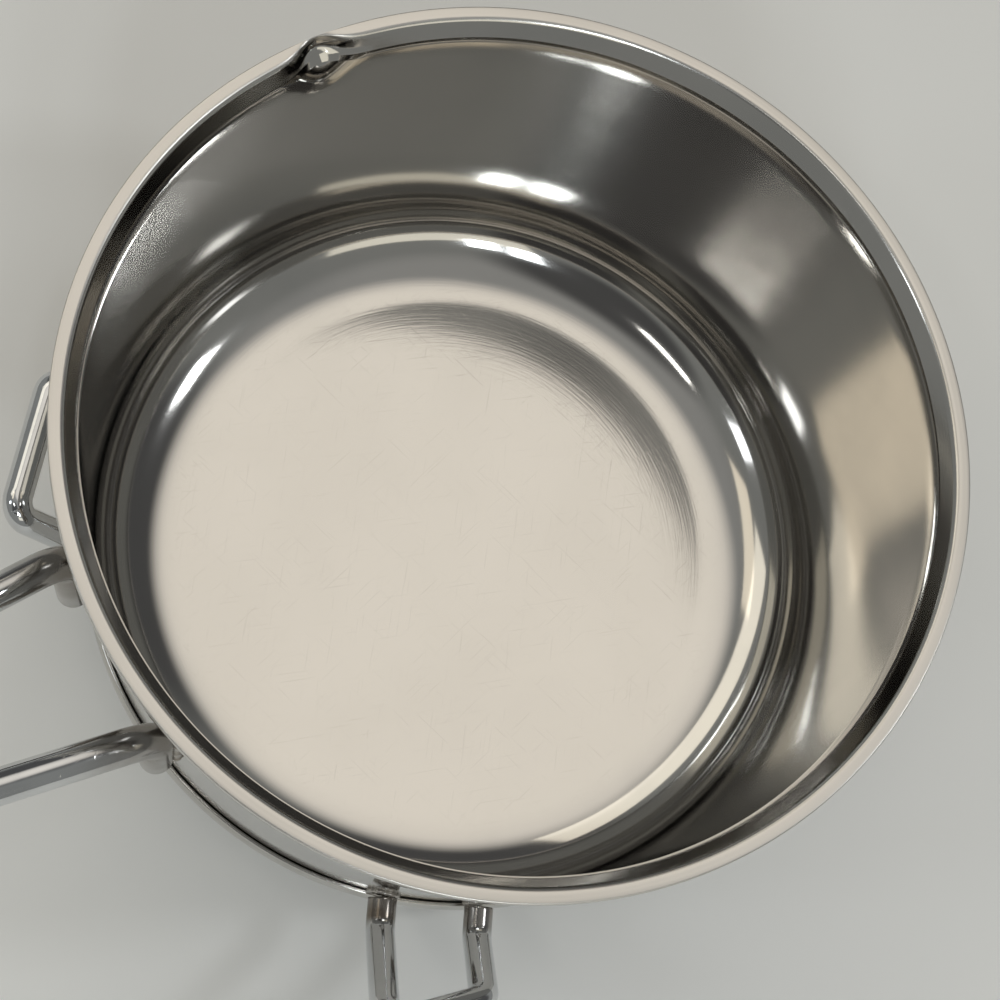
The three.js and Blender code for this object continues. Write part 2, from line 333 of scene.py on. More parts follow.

# %% [markdown]
# ## Other finishes
# The cap is steel of the same kind with a turned satin underside. The wires are chrome plated and turn dark
# brown near the welds, placed by the wires' own "weld_heat_and_shade" attribute: partly heat tint, partly
# painted shade where the wire meets the wall. Weld beads are dull grey.
# The heat spreader inside the base is plain aluminium.

# %% Finish of the base cap
def cap_steel_finish():
    material, tree, shader, place = metal("cap_steel")
    height = add(tree, "ShaderNodeSeparateXYZ", {"Vector": place}).outputs[2]
    side = step(tree, height, 1.0 * MM, 5.0 * MM)
    lines = place_effect(tree, turned_lines, Vector=place, Lines_per_metre=1900.0, Breaks_per_turn=4.0)
    haze = place_effect(tree, handling_haze, Vector=place, Scale=45.0, Clear=0.0, Dull=1.0)
    scratches = place_effect(tree, hair_scratches, Vector=place, Scale=520.0, Rarity=0.68)
    worn = calc(tree, "MULTIPLY", scratches, calc(tree, "SUBTRACT", 1.0, side))
    bare = calc(tree, "MULTIPLY_ADD", haze, 0.06, blend(tree, side, 0.34, 0.13))
    tree.links.new(calc(tree, "MULTIPLY_ADD", worn, 0.15, bare), shader.inputs["Roughness"])
    colour = tint(tree, haze, (0.64, 0.62, 0.585, 1.0), (0.58, 0.565, 0.54, 1.0))
    tree.links.new(tint(tree, calc(tree, "MULTIPLY", worn, 0.5), colour, (0.36, 0.34, 0.31, 1.0)), shader.inputs["Base Color"])
    relief(tree, shader, calc(tree, "MULTIPLY", lines, blend(tree, side, 1.0, 0.15)), 0.015 * MM)
    return material


cap_steel = cap_steel_finish()
print("Finish", cap_steel.name, "has", len(cap_steel.node_tree.nodes), "nodes")

# %% Finish of the wires
def wire_chrome_finish():
    material, tree, shader, place = metal("wire_chrome")
    heat_and_shade = add(tree, "ShaderNodeAttribute", attribute_name="weld_heat_and_shade").outputs["Fac"]
    haze = place_effect(tree, handling_haze, Vector=place, Scale=70.0, Clear=0.0, Dull=1.0)
    scratches = place_effect(tree, hair_scratches, Vector=place, Scale=900.0, Rarity=0.7)
    bare = calc(tree, "MULTIPLY_ADD", haze, 0.05, 0.055)
    scuffed = calc(tree, "MULTIPLY_ADD", scratches, 0.1, bare)
    tree.links.new(calc(tree, "MULTIPLY_ADD", heat_and_shade, 0.14, scuffed), shader.inputs["Roughness"])
    # Heat tint and painted shade: dark brown near the welds, where the wire meets the wall.
    patchy_heat_and_shade = calc(tree, "MULTIPLY", heat_and_shade, calc(tree, "MULTIPLY_ADD", haze, 0.5, 0.5))
    bright = tint(tree, haze, (0.68, 0.69, 0.70, 1.0), (0.60, 0.61, 0.62, 1.0))
    tree.links.new(tint(tree, patchy_heat_and_shade, bright, (0.17, 0.135, 0.10, 1.0)), shader.inputs["Base Color"])
    relief(tree, shader, calc(tree, "MULTIPLY_ADD", scratches, -0.5, haze), 0.01 * MM)
    return material


wire_chrome = wire_chrome_finish()
print("Finish", wire_chrome.name, "has", len(wire_chrome.node_tree.nodes), "nodes")

# %% Finishes of the welds and the heat spreader
def weld_metal_finish():
    material, tree, shader, place = metal("weld_metal")
    haze = place_effect(tree, handling_haze, Vector=place, Scale=300.0, Clear=0.0, Dull=1.0)
    tree.links.new(calc(tree, "MULTIPLY_ADD", haze, 0.2, 0.24), shader.inputs["Roughness"])
    tree.links.new(tint(tree, haze, (0.47, 0.45, 0.42, 1.0), (0.30, 0.26, 0.22, 1.0)), shader.inputs["Base Color"])
    relief(tree, shader, haze, 0.05 * MM)
    return material


def core_aluminium_finish():
    material, tree, shader, place = metal("core_aluminium")
    lines = place_effect(tree, turned_lines, Vector=place, Lines_per_metre=1500.0, Breaks_per_turn=3.0)
    haze = place_effect(tree, handling_haze, Vector=place, Scale=40.0, Clear=0.4, Dull=0.55)
    tree.links.new(haze, shader.inputs["Roughness"])
    tree.links.new(tint(tree, lines, (0.72, 0.73, 0.74, 1.0), (0.66, 0.67, 0.68, 1.0)), shader.inputs["Base Color"])
    relief(tree, shader, lines, 0.02 * MM)
    return material


weld_metal = weld_metal_finish()
core_aluminium = core_aluminium_finish()
print("Finishes", weld_metal.name, "and", core_aluminium.name, "are ready")

# %% [markdown]
# ## From node tree to plain mesh
# Geometry Nodes make the bowl, the cap, the wires and the weld beads. Each piece starts as a mesh of bare
# edges: the section that is turned, or the line that a wire follows. A tree makes the body from it, and
# the result is copied into a plain mesh, because only a plain mesh can ride on a CAD body.

# %% Helpers that run a tree and keep its mesh
def edge_chain(name, points, closed=False, bends=None):
    """An object that holds only a chain of edges, with each corner's bend radius where one is given."""
    mesh = bpy.data.meshes.new(name)
    edges = [(i, i + 1) for i in range(len(points) - 1)]
    if closed:
        edges.append((len(points) - 1, 0))
    mesh.from_pydata([tuple(p) for p in points], edges, [])
    if bends:
        values = mesh.attributes.new("bend", "FLOAT", "POINT").data
        for value, bend in zip(values, bends):
            value.value = bend
    chain = bpy.data.objects.new(name, mesh)
    bpy.context.scene.collection.objects.link(chain)
    return chain


def run_tree(piece, tree, values):
    """Sets the tree's named inputs, then swaps the piece's mesh for what the tree makes."""
    modifier = piece.modifiers.new(tree.name, "NODES")
    modifier.node_group = tree
    sockets = {item.name: item.identifier for item in tree.interface.items_tree if item.in_out == "INPUT"}
    for label, value in values.items():
        modifier[sockets[label]] = value
    depsgraph = bpy.context.evaluated_depsgraph_get()
    made = bpy.data.meshes.new_from_object(
        piece.evaluated_get(depsgraph), preserve_all_data_layers=True, depsgraph=depsgraph
    )
    piece.modifiers.clear()
    piece.data = made
    face_outwards(made)
    print(piece.name, "has", len(made.polygons), "faces")
    return piece


def face_outwards(mesh):
    body = bmesh.new()
    body.from_mesh(mesh)
    bmesh.ops.recalc_face_normals(body, faces=body.faces)
    body.to_mesh(mesh)
    body.free()


def end_tree(tree, geometry, finish, end):
    """The last steps of every tree: smooth shading, real geometry and a finish."""
    smooth = add(tree, "GeometryNodeSetShadeSmooth", {"Geometry": geometry}).outputs[0]
    real = add(tree, "GeometryNodeRealizeInstances", {"Geometry": smooth}).outputs[0]
    dressed = add(tree, "GeometryNodeSetMaterial", {"Geometry": real, "Material": finish}).outputs[0]
    tree.links.new(dressed, end.inputs["Geometry"])


GEOMETRY = "NodeSocketGeometry"
MATERIAL = "NodeSocketMaterial"
INTEGER = "NodeSocketInt"
print("Tree helpers are ready")

# %% [markdown]
# ## The turned sheet
# A drawn bowl is a section turned round an axis, so a tree sweeps the section round a circle. The pouring
# notch is then pinched by a rule: near one azimuth the lip moves outwards and down by a bell curve, and
# the push fades out over the flange so that the rim's edge stays round. The stations round the circle are
# crowded towards the notch, where the shape changes fast.

# %% Tree of the turned sheet
def turned_sheet_tree():
    sizes = {
        "Stations": INTEGER, "Crowding": FLOAT, "Rim radius": FLOAT, "Wall radius": FLOAT,
        "Notch azimuth": FLOAT, "Notch width": FLOAT, "Notch push": FLOAT, "Notch dip": FLOAT,
        "Notch foot": FLOAT, "Notch full": FLOAT, "Finish": MATERIAL,
    }
    tree, start, end = new_tree("turned_sheet", "GeometryNodeTree", {"Geometry": GEOMETRY} | sizes, {"Geometry": GEOMETRY})
    given = start.outputs

    section = add(tree, "GeometryNodeMeshToCurve", {"Mesh": given["Geometry"]}).outputs[0]
    outwards = add(tree, "ShaderNodeCombineXYZ", {"X": calc(tree, "MULTIPLY", given["Rim radius"], -1.0)}).outputs[0]
    laid = add(tree, "GeometryNodeTransform", {"Geometry": section, "Translation": outwards}).outputs[0]
    laid_flat = add(tree, "GeometryNodeTransform", {"Geometry": laid, "Rotation": (math.pi / 2, 0, 0)}).outputs[0]
    ring = add(tree, "GeometryNodeCurvePrimitiveCircle", {"Resolution": given["Stations"], "Radius": given["Rim radius"]})
    upright = add(tree, "GeometryNodeSetCurveNormal", {"Curve": ring.outputs["Curve"]}, mode="Z_UP").outputs[0]
    swept = add(tree, "GeometryNodeCurveToMesh", {"Curve": upright, "Profile Curve": laid_flat}).outputs[0]
    closed = add(tree, "GeometryNodeMergeByDistance", {"Geometry": swept, "Distance": 1e-6}).outputs[0]

    here = add(tree, "ShaderNodeSeparateXYZ", {0: add(tree, "GeometryNodeInputPosition").outputs[0]}).outputs
    squares = [calc(tree, "MULTIPLY", here[i], here[i]) for i in (0, 1)]
    radius = calc(tree, "SQRT", calc(tree, "ADD", *squares))
    turn = calc(tree, "SUBTRACT", calc(tree, "ARCTAN2", here[1], here[0]), given["Notch azimuth"])
    crowd = calc(tree, "MULTIPLY", given["Crowding"], calc(tree, "SINE", turn))
    angle = calc(tree, "SUBTRACT", turn, crowd)
    folded = calc(tree, "ARCTAN2", calc(tree, "SINE", angle), calc(tree, "COSINE", angle))
    along = calc(tree, "MULTIPLY", folded, given["Rim radius"])
    ratio = calc(tree, "DIVIDE", along, calc(tree, "MULTIPLY", given["Notch width"], 0.5))
    bell = calc(tree, "EXPONENT", calc(tree, "MULTIPLY", calc(tree, "MULTIPLY", ratio, ratio), -1.0))
    rise = step(tree, here[2], given["Notch foot"], given["Notch full"])
    fade = {"Value": radius, "From Min": given["Rim radius"], "From Max": given["Wall radius"]}
    inward = add(tree, "ShaderNodeMapRange", fade).outputs["Result"]
    pinch = calc(tree, "MULTIPLY", calc(tree, "MULTIPLY", bell, rise), inward)

    pushed = calc(tree, "MULTIPLY_ADD", pinch, given["Notch push"], radius)
    heading = calc(tree, "ADD", angle, given["Notch azimuth"])
    drop = calc(tree, "MULTIPLY", pinch, given["Notch dip"])
    moved = add(tree, "ShaderNodeCombineXYZ", {
        "X": calc(tree, "MULTIPLY", pushed, calc(tree, "COSINE", heading)),
        "Y": calc(tree, "MULTIPLY", pushed, calc(tree, "SINE", heading)),
        "Z": calc(tree, "SUBTRACT", here[2], drop),
    }).outputs[0]
    shaped = add(tree, "GeometryNodeSetPosition", {"Geometry": closed, "Position": moved}).outputs[0]
    end_tree(tree, shaped, given["Finish"], end)
    return tree


turned_sheet = turned_sheet_tree()
print("Tree", turned_sheet.name, "has", len(turned_sheet.nodes), "nodes")

# %% [markdown]
# ## The bowl
# The section follows the sheet from the underside up the outer wall, over the hemmed rim, and down the lip
# and the inner wall to the floor, which is dished a little. The lip is a slope with a rolled edge, and the
# ledge at its foot catches the light as a fine line. The corner between wall and floor is a quarter
# ellipse, because the photo's reflections fit one better than a round.

# %% Section helpers
def arc(centre, sizes, start, end, steps):
    """Points of an elliptical arc in a section; sizes are its half width and half height, angles in degrees."""
    turns = [math.radians(start + (end - start) * i / steps) for i in range(steps + 1)]
    return [(centre[0] + sizes[0] * math.cos(t), centre[1] + sizes[1] * math.sin(t)) for t in turns]


def curve(start, pull, end, steps):
    """Points of a curve that leaves start towards pull and reaches end from pull."""
    shares = [i / steps for i in range(steps + 1)]
    weights = [((1 - s) ** 2, 2 * s * (1 - s), s * s) for s in shares]
    return [tuple(a * w[0] + b * w[1] + c * w[2] for a, b, c in zip(start, pull, end)) for w in weights]


def run(start, end, steps):
    """Points of a straight run, without its ends."""
    shares = [i / steps for i in range(1, steps)]
    return [tuple(a + (b - a) * s for a, b in zip(start, end)) for s in shares]


def upright(section):
    """Points of radius and height, set in the XZ plane."""
    return [Vector((radius, 0.0, height)) for radius, height in section]


print("Section helpers are ready")

# %% Make the bowl
HEM_LENGTH = 1.6 * MM
EDGE_ROUND = 0.25 * MM
NOTCH = {
    "Notch azimuth": math.radians(-90), "Notch width": 7.5 * MM, "Notch push": 2.9 * MM,
    "Notch dip": 0.4 * MM, "Notch foot": POT_HEIGHT - 7.0 * MM, "Notch full": POT_HEIGHT - 0.6 * MM,
}


def bowl_section():
    outer_wall = WALL_TOP_RADIUS + BOWL_SHEET
    hem_inner = RIM_RADIUS - BOWL_SHEET
    hem_top = POT_HEIGHT - 1.3 * MM
    hem_foot = POT_HEIGHT - EDGE_ROUND - HEM_LENGTH
    lip_top = (LIP_TOP_RADIUS + 0.1 * MM, POT_HEIGHT - 0.01 * MM)
    lip_slope = (LIP_TOP_RADIUS - 0.7 * MM, POT_HEIGHT - 0.65 * MM)
    lip_end = (WALL_TOP_RADIUS + 0.3 * MM, LIP_FOOT + 0.5 * MM)
    groove_foot = (outer_wall, LIP_FOOT - BOWL_SHEET)
    groove_top = ((outer_wall + hem_inner) / 2, hem_top)
    section = [(0.0, bowl_low.z)]
    section += arc((CORNER_CENTRE, CORNER_TOP), OUTER_CORNER, -90, 0, 14)
    section += run(section[-1], groove_foot, 6)
    section += curve(groove_foot, (outer_wall, hem_top), groove_top, 8)
    section += [(hem_inner - 0.1 * MM, hem_top), (hem_inner, hem_top - 0.1 * MM), (hem_inner, hem_foot + 0.3 * MM)]
    section += arc((hem_inner + BOWL_SHEET / 2, hem_foot + 0.3 * MM), (BOWL_SHEET / 2,) * 2, 180, 360, 8)
    section += arc((RIM_RADIUS - EDGE_ROUND, POT_HEIGHT - EDGE_ROUND), (EDGE_ROUND,) * 2, 0, 90, 6)
    section += run(section[-1], lip_top, 3)
    section += curve(lip_top, (LIP_TOP_RADIUS - 0.35 * MM, POT_HEIGHT - 0.1 * MM), lip_slope, 14)
    section += run(lip_slope, lip_end, 12)
    section += curve(lip_end, (WALL_TOP_RADIUS + 0.12 * MM, LIP_FOOT), (WALL_TOP_RADIUS, LIP_FOOT - 0.5 * MM), 10)
    section += run(section[-1], (WALL_FOOT_RADIUS, CORNER_TOP), 16)
    corner = [CORNER_CENTRE + CORNER_WIDTH * math.cos(math.pi / 2 * i / 40) for i in range(41)]
    floor = [CORNER_CENTRE * (1 - i / 20) for i in range(1, 21)]
    section += [(radius, bowl_inside(radius)) for radius in corner + floor]
    return section


bowl = edge_chain("bowl", upright(bowl_section()))
common = {"Rim radius": RIM_RADIUS, "Wall radius": WALL_TOP_RADIUS + 0.8 * MM}
run_tree(bowl, turned_sheet, {"Stations": 400, "Crowding": 0.55, "Finish": bowl_steel} | common | NOTCH)

# %% [markdown]
# ## The base cap
# The capsule base is closed by a thin steel cap that is pressed up round the bowl's corner. It is turned
# by the same tree, with no push at the notch. Its rounded upper edge makes the fine line that shows low
# on the outer wall.

# %% Make the cap
cap_low, cap_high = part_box("base_cap")
CAP_SHEET = 0.7 * MM
CAP_RADIUS = cap_high.x


def cap_section():
    inner_radius = CAP_RADIUS - CAP_SHEET
    centre = (inner_radius - OUTER_CORNER[0], CAP_SHEET + OUTER_CORNER[1])
    outside = (OUTER_CORNER[0] + CAP_SHEET, OUTER_CORNER[1] + CAP_SHEET)
    edge_radius = bowl_outer(cap_high.z) + 0.04 * MM + CAP_SHEET / 2
    section = [(0.0, 0.0)] + run((0.0, 0.0), (centre[0], 0.0), 10)
    section += arc(centre, outside, -90, 0, 28)
    section += arc((edge_radius, cap_high.z - CAP_SHEET / 2), (CAP_SHEET / 2,) * 2, 20, 180, 8)
    section += arc(centre, OUTER_CORNER, 0, -90, 16)
    section.append((0.0, CAP_SHEET))
    return section


cap = edge_chain("cap", upright(cap_section()))
run_tree(cap, turned_sheet, {"Stations": 256, "Crowding": 0.0, "Finish": cap_steel} | common | NOTCH | {"Notch push": 0.0, "Notch dip": 0.0})

# %% [markdown]
# ## Bent wire
# The handle and the lugs are round wire bent over a former. Their centrelines are a few corner points,
# each with its bend radius, and a tree does what the former does: it fillets the corners, sweeps a round
# section along the line and domes the ends. It also stores how near each point is to a welded end, which
# the chrome reads for its dark brown there: heat tint, and painted shade where the wire meets the wall.

# %% Tree of the bent wire
def bent_wire_tree():
    sizes = {"Diameter": FLOAT, "Dome": FLOAT, "Step": FLOAT, "Sides": INTEGER, "Heat and shade length": FLOAT, "Finish": MATERIAL}
    tree, start, end = new_tree("bent_wire", "GeometryNodeTree", {"Geometry": GEOMETRY} | sizes, {"Geometry": GEOMETRY})
    given = start.outputs
    line = add(tree, "GeometryNodeMeshToCurve", {"Mesh": given["Geometry"]}).outputs[0]
    bend = add(tree, "GeometryNodeInputNamedAttribute", {"Name": "bend"}, data_type="FLOAT").outputs[0]
    corner = {"Curve": line, "Count": 24, "Radius": bend, "Limit Radius": True}
    filleted = add(tree, "GeometryNodeFilletCurve", corner, mode="POLY").outputs[0]
    even = add(tree, "GeometryNodeResampleCurve", {"Curve": filleted, "Length": given["Step"]}, mode="LENGTH").outputs[0]

    gone = add(tree, "GeometryNodeSplineParameter").outputs["Length"]
    left = calc(tree, "SUBTRACT", add(tree, "GeometryNodeSplineLength").outputs["Length"], gone)
    to_end = calc(tree, "MINIMUM", gone, left)
    # The mask marks heat tint and painted shade near each welded end of the wire.
    full_heat_and_shade = calc(tree, "MULTIPLY", given["Heat and shade length"], 0.5)
    heat_and_shade = calc(tree, "SUBTRACT", 1.0, step(tree, to_end, full_heat_and_shade, given["Heat and shade length"]))
    store = {"Geometry": even, "Name": "weld_heat_and_shade", "Value": heat_and_shade}
    with_heat_and_shade = add(tree, "GeometryNodeStoreNamedAttribute", store, data_type="FLOAT", domain="POINT").outputs[0]

    share = calc(tree, "MINIMUM", calc(tree, "DIVIDE", to_end, given["Dome"]), 1.0)
    back = calc(tree, "SUBTRACT", 1.0, share)
    dome = calc(tree, "SQRT", calc(tree, "SUBTRACT", 1.0, calc(tree, "MULTIPLY", back, back)))
    round_radius = calc(tree, "MULTIPLY", given["Diameter"], 0.5)
    section = {"Resolution": given["Sides"], "Radius": round_radius}
    profile = add(tree, "GeometryNodeCurvePrimitiveCircle", section).outputs["Curve"]
    sweep = {"Curve": with_heat_and_shade, "Profile Curve": profile, "Scale": dome, "Fill Caps": False}
    swept = add(tree, "GeometryNodeCurveToMesh", sweep).outputs[0]
    closed = add(tree, "GeometryNodeMergeByDistance", {"Geometry": swept, "Distance": 1e-6}).outputs[0]
    end_tree(tree, closed, given["Finish"], end)
    return tree


bent_wire = bent_wire_tree()
print("Tree", bent_wire.name, "has", len(bent_wire.nodes), "nodes")

# %% [markdown]
# ## The handle
# One wire makes the whole handle. Its ends run down the wall as tabs, it turns out under the rim, its rods
# rise and draw together to the grip, and it turns round at the end. The corner points repeat the CAD
# model's, so the smooth wire lies where the faceted one does.

# %% Make the handle
HANDLE_WIRE = 5.0 * MM
HANDLE_STAND = 0.3 * MM + HANDLE_WIRE / 2
HANDLE_ROOT_HEIGHT = POT_HEIGHT - 15.1 * MM
HANDLE_TIP_HEIGHT = HANDLE_ROOT_HEIGHT - 22.0 * MM
HANDLE_ROOT_HALF = 13.9 * MM
HANDLE_RISE = math.radians(14.9)
NECK_LENGTH = 56.0 * MM
GRIP_LENGTH = 72.0 * MM
GRIP_HALF = 7.5 * MM
ROOT_BEND = 7.0 * MM
NECK_BEND = 60.0 * MM
root_radius = bowl_outer(HANDLE_ROOT_HEIGHT) + HANDLE_STAND
tip_radius = bowl_outer(HANDLE_TIP_HEIGHT) + HANDLE_STAND
root_turn = math.asin(HANDLE_ROOT_HALF / root_radius)


def handle_side(sign):
    """Corner points of one rod, from its tab's tip to the grip's end."""
    root_x = root_radius * math.cos(root_turn)
    slope = math.tan(HANDLE_RISE)
    neck = NECK_LENGTH
    grip = NECK_LENGTH + GRIP_LENGTH
    return [
        Vector((tip_radius * math.cos(root_turn), sign * tip_radius * math.sin(root_turn), HANDLE_TIP_HEIGHT)),
        Vector((root_x, sign * HANDLE_ROOT_HALF, HANDLE_ROOT_HEIGHT)),
        Vector((root_x + neck, sign * GRIP_HALF, HANDLE_ROOT_HEIGHT + neck * slope)),
        Vector((root_x + grip, sign * GRIP_HALF, HANDLE_ROOT_HEIGHT + grip * slope)),
    ]


half_bends = [0.0, ROOT_BEND, NECK_BEND, GRIP_HALF]
handle = edge_chain("handle", handle_side(1) + handle_side(-1)[::-1], bends=half_bends + half_bends[::-1])
WIRE = {"Dome": 1.4 * MM, "Step": 0.35 * MM, "Sides": 40, "Finish": wire_chrome}
run_tree(handle, bent_wire, WIRE | {"Diameter": HANDLE_WIRE, "Heat and shade length": 38.0 * MM})

# %% [markdown]
# ## The lugs
# Each lug leaves the wall square on two stubs and then turns up, so that it hooks on the rim of a wider
# pan. Two wide ones and two narrow ones stand about a quarter turn apart, and their bars sit a little
# askew, as hand-bent wire does. One function gives the corner points for a width, a rise and a skew.

# %% Make the lugs
LUG_WIRE = 4.5 * MM
LUG_HEIGHT = cap_high.z + 1.45 * MM + LUG_WIRE / 2
LUG_BENDS = [0.0, 4.0 * MM, 2.8 * MM]
WIDE_LUG = {"azimuth": -34.4, "width": 23.0, "stub": 1.2, "leg": 12.3, "skew": 1.5, "rise": 50.0}
NARROW_LUG = {"azimuth": 57.2, "width": 15.1, "stub": 5.2, "leg": 18.1, "skew": -3.9, "rise": 47.0}
LUG_RING = [kind | {"azimuth": kind["azimuth"] + turn} for turn in (0, 180) for kind in (WIDE_LUG, NARROW_LUG)]


def lug_side(kind, sign):
    """Corner points of one leg, from the wall to the bar, turned to the lug's azimuth."""
    across = kind["width"] / 2 * MM
    wall = bowl_outer(LUG_HEIGHT + LUG_WIRE / 2)
    root_x = math.sqrt(wall ** 2 - (across - LUG_WIRE / 2) ** 2) + 0.3 * MM
    stub_x = bowl_outer(LUG_HEIGHT) + kind["stub"] * MM
    reach = (kind["leg"] + sign * kind["skew"]) * MM
    rise = math.radians(kind["rise"])
    bar = (stub_x + reach * math.cos(rise), LUG_HEIGHT + reach * math.sin(rise))
    turn = Quaternion((0, 0, 1), math.radians(kind["azimuth"]))
    return [turn @ Vector((x, sign * across, z)) for x, z in ((root_x, LUG_HEIGHT), (stub_x, LUG_HEIGHT), bar)]


lugs = []
for number, kind in enumerate(LUG_RING):
    points = lug_side(kind, 1) + lug_side(kind, -1)[::-1]
    lug = edge_chain(f"lug_{number + 1}", points, bends=LUG_BENDS + LUG_BENDS[::-1])
    lugs.append(run_tree(lug, bent_wire, WIRE | {"Diameter": LUG_WIRE, "Heat and shade length": 6.0 * MM, "Dome": 0.3 * MM}))

# %% [markdown]
# ## Weld beads
# The wires are welded on, and each weld leaves a rippled bead in the corner between wire and wall. A bead
# follows a path, so a tree sweeps a round section along it and swells it by a sine wave for the ripples.
# A handle tab has a bead down both sides and round its tip, and a lug's stub has a ring.

# %% Tree of the weld bead
def weld_bead_tree():
    sizes = {"Thickness": FLOAT, "Ripple pitch": FLOAT, "Ripple depth": FLOAT, "Step": FLOAT, "Finish": MATERIAL}
    tree, start, end = new_tree("weld_bead", "GeometryNodeTree", {"Geometry": GEOMETRY} | sizes, {"Geometry": GEOMETRY})
    given = start.outputs
    line = add(tree, "GeometryNodeMeshToCurve", {"Mesh": given["Geometry"]}).outputs[0]
    even = add(tree, "GeometryNodeResampleCurve", {"Curve": line, "Length": given["Step"]}, mode="LENGTH").outputs[0]
    gone = add(tree, "GeometryNodeSplineParameter").outputs["Length"]
    phase = calc(tree, "DIVIDE", calc(tree, "MULTIPLY", gone, 2 * math.pi), given["Ripple pitch"])
    swell = calc(tree, "MULTIPLY_ADD", calc(tree, "SINE", phase), given["Ripple depth"], 1.0)
    section = {"Resolution": 14, "Radius": calc(tree, "MULTIPLY", given["Thickness"], 0.5)}
    profile = add(tree, "GeometryNodeCurvePrimitiveCircle", section).outputs["Curve"]
    sweep = {"Curve": even, "Profile Curve": profile, "Scale": swell, "Fill Caps": True}
    swept = add(tree, "GeometryNodeCurveToMesh", sweep).outputs[0]
    end_tree(tree, swept, given["Finish"], end)
    return tree


weld_bead = weld_bead_tree()
print("Tree", weld_bead.name, "has", len(weld_bead.nodes), "nodes")

# %% Make the weld beads
BEAD = {"Ripple pitch": 1.1 * MM, "Ripple depth": 0.12, "Step": 0.18 * MM, "Finish": weld_metal}
TAB_BEAD_SIDE = 1.7 * MM
TAB_BEAD_TOP = HANDLE_ROOT_HEIGHT - 6.5 * MM


def on_wall(azimuth, sideways, height, proud):
    """A point on the outer wall, a little way sideways of an azimuth and proud of the steel."""
    radius = bowl_outer(height) + proud
    turn = math.radians(azimuth) + sideways / radius
    return Vector((radius * math.cos(turn), radius * math.sin(turn), height))


def tab_bead_path(azimuth):
    foot = HANDLE_TIP_HEIGHT + 1.0 * MM
    tip = [math.pi * i / 12 for i in range(13)]
    path = [on_wall(azimuth, -TAB_BEAD_SIDE, TAB_BEAD_TOP, 0.4 * MM)]
    path += [
        on_wall(azimuth, -TAB_BEAD_SIDE * math.cos(t), foot - TAB_BEAD_SIDE * math.sin(t), 0.4 * MM) for t in tip
    ]
    path.append(on_wall(azimuth, TAB_BEAD_SIDE, TAB_BEAD_TOP, 0.4 * MM))
    return path


def stub_bead_path(azimuth, sideways):
    ring = [2 * math.pi * i / 28 for i in range(28)]
    reach = LUG_WIRE / 2
    return [
        on_wall(azimuth, sideways + reach * math.cos(t), LUG_HEIGHT + reach * math.sin(t), 0.2 * MM) for t in ring
    ]


welds = []
for name, sign in (("left", 1), ("right", -1)):
    path = tab_bead_path(sign * math.degrees(root_turn))
    bead = edge_chain(f"tab_weld_{name}", path)
    welds.append(run_tree(bead, weld_bead, BEAD | {"Thickness": 1.5 * MM}))
for number, kind in enumerate(LUG_RING):
    for name, sign in (("left", 1), ("right", -1)):
        path = stub_bead_path(kind["azimuth"], sign * kind["width"] / 2 * MM)
        bead = edge_chain(f"lug_{number + 1}_weld_{name}", path, closed=True)
        welds.append(run_tree(bead, weld_bead, BEAD | {"Thickness": 0.8 * MM}))

# %% [markdown]
# ## Floor and light
# The pot stands on a plain pale table under soft light. Polished steel shows its surroundings more than
# its own colour, so the light is what draws it. A soft warm ceiling fills the floor and the flange, warm
# and pale panels light parts of the wall, and small cool windows give the crisp highlights. Three dim
# sides let the rest of the wall go dark.

# %% Make the table
def table_finish():
    material = bpy.data.materials.new("pale_table")
    material.use_nodes = True
    tree = material.node_tree
    shader = tree.nodes["Principled BSDF"]
    place = add(tree, "ShaderNodeTexCoord").outputs["Object"]
    haze = place_effect(tree, handling_haze, Vector=place, Scale=6.0, Clear=0.0, Dull=1.0)
    tree.links.new(tint(tree, haze, (0.9, 0.905, 0.89, 1.0), (0.88, 0.885, 0.87, 1.0)), shader.inputs["Base Color"])
    shader.inputs["Roughness"].default_value = 0.42
    return material


TABLE_HALF = 1.5
table = bpy.data.objects.new("table", bpy.data.meshes.new("table"))
corners = [(-TABLE_HALF, -TABLE_HALF), (TABLE_HALF, -TABLE_HALF), (TABLE_HALF, TABLE_HALF), (-TABLE_HALF, TABLE_HALF)]
table.data.from_pydata([(x, y, 0.0) for x, y in corners], [], [(0, 1, 2, 3)])
table.data.materials.append(table_finish())
bpy.context.scene.collection.objects.link(table)
print("Table is", 2 * TABLE_HALF, "m wide")

# %% Set the lamps
def panel(name, place, aim_at, size, radiance, colour):
    """A soft rectangular lamp of an even radiance that faces a point."""
    light = bpy.data.lights.new(name, "AREA")
    light.shape = "RECTANGLE"
    light.size, light.size_y = size
    light.energy = radiance * math.pi * size[0] * size[1]
    light.color = colour
    lamp = bpy.data.objects.new(name, light)
    lamp.location = place
    lamp.rotation_mode = "QUATERNION"
    lamp.rotation_quaternion = (Vector(aim_at) - Vector(place)).to_track_quat("-Z", "Y")
    bpy.context.scene.collection.objects.link(lamp)
    return lamp


POT_MIDDLE = Vector((0.0, 0.0, POT_HEIGHT / 2))


def towards(azimuth, elevation, distance=1.2):
    """A place seen from the pot at an azimuth and an elevation, in degrees."""
    turn, lift = math.radians(azimuth), math.radians(elevation)
    flat = Vector((math.cos(turn) * math.cos(lift), math.sin(turn) * math.cos(lift), math.sin(lift)))
    return POT_MIDDLE + flat * distance


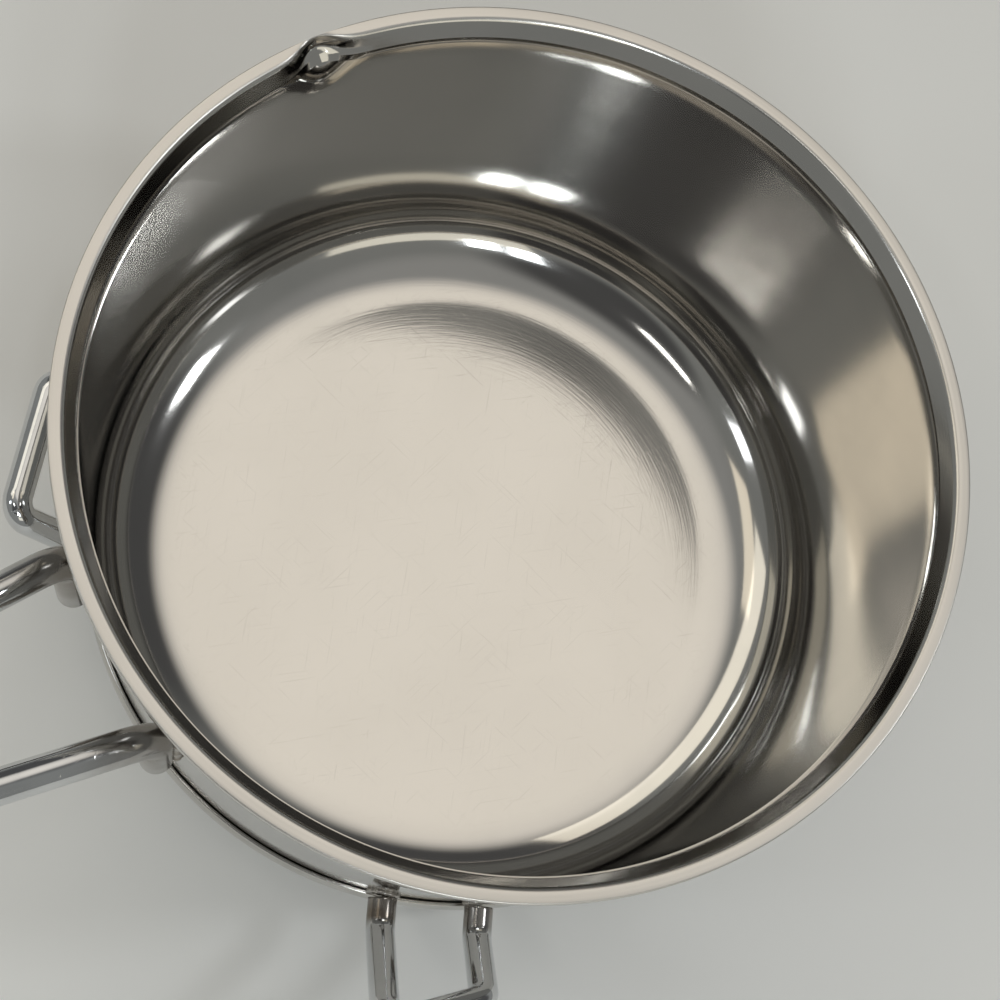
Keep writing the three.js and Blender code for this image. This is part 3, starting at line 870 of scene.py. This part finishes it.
panel("warm_band", towards(-82, 45), POT_MIDDLE, (1.25, 0.33), 1.05, (1.0, 0.93, 0.79))
panel("warm_spot", towards(-49, 54), POT_MIDDLE, (0.46, 0.23), 0.95, (1.0, 0.88, 0.69))
panel("pale_wall", towards(78, 31), POT_MIDDLE, (0.9, 0.36), 0.75, (1.0, 0.95, 0.8))
panel("window_front_left", towards(66.5, 41, 1.15), POT_MIDDLE, (0.1, 0.2), 14.0, (0.9, 0.96, 1.0))
panel("window_front_right", towards(55.5, 43, 1.15), POT_MIDDLE, (0.1, 0.22), 14.0, (0.9, 0.96, 1.0))
panel("window_back", towards(148, 48.5), POT_MIDDLE, (0.13, 0.15), 20.0, (0.95, 0.98, 1.0))
panel("window_side", towards(-19, 34), POT_MIDDLE, (0.16, 0.26), 4.0, (0.92, 0.96, 1.0))
panel("strip", towards(7, 58), POT_MIDDLE, (0.22, 0.07), 8.0, (1.0, 0.99, 0.95))
for lamp in [o for o in bpy.context.scene.objects if o.type == "LIGHT"]:
    lamp.visible_camera = False

# %% Shade the surroundings
DARK_SIDES = [(30, 52, 0.9, 0.97), (170, 38, 0.88, 0.97), (-128, 24, 0.88, 0.97)]
CEILING = (-138, 68, 0.865, 0.97)
world = bpy.data.worlds.new("studio")
bpy.context.scene.world = world
world.use_nodes = True
sky = world.node_tree
heading = add(sky, "ShaderNodeTexCoord").outputs["Generated"]


def patch(azimuth, elevation, edge, full):
    """A soft round patch of the surroundings, given by the cosines of its outer and inner angles."""
    middle = tuple((towards(azimuth, elevation) - POT_MIDDLE).normalized())
    facing = add(sky, "ShaderNodeVectorMath", {0: heading, 1: middle}, operation="DOT_PRODUCT").outputs["Value"]
    return step(sky, facing, edge, full)


height = add(sky, "ShaderNodeSeparateXYZ", {"Vector": heading}).outputs[2]
grey = tint(sky, step(sky, height, 0.78, 0.93), (0.25, 0.255, 0.245, 1.0), (0.34, 0.34, 0.33, 1.0))
dark = 0.0
for side in DARK_SIDES:
    dark = calc(sky, "MAXIMUM", dark, patch(*side))
dimmed = tint(sky, dark, grey, (0.085, 0.085, 0.085, 1.0))
shade = tint(sky, patch(*CEILING), dimmed, (0.97, 0.915, 0.83, 1.0))
seen = add(sky, "ShaderNodeLightPath").outputs["Is Camera Ray"]
sky.links.new(tint(sky, seen, shade, (0.8, 0.81, 0.8, 1.0)), sky.nodes["Background"].inputs["Color"])

# %% [markdown]
# ## Hand the pieces to the frame
# Each piece says which CAD body it rides on and which CAD node it stands for. The pot has no joints, so
# there is one body. The heat spreader keeps its CAD solid, because nobody sees it and its shape is right.

# %% Ride and replace
STANDS_FOR = {bowl: "pot_bowl", cap: "base_cap", handle: "handle_loop"}
STANDS_FOR |= {lug: f"hanging_lug_{number + 1}" for number, lug in enumerate(lugs)}
for piece in [*STANDS_FOR, *welds]:
    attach(piece, "root")
for piece, node in STANDS_FOR.items():
    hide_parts(node)
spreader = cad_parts["heat_spreader"]
spreader.data.materials.clear()
spreader.data.materials.append(core_aluminium)
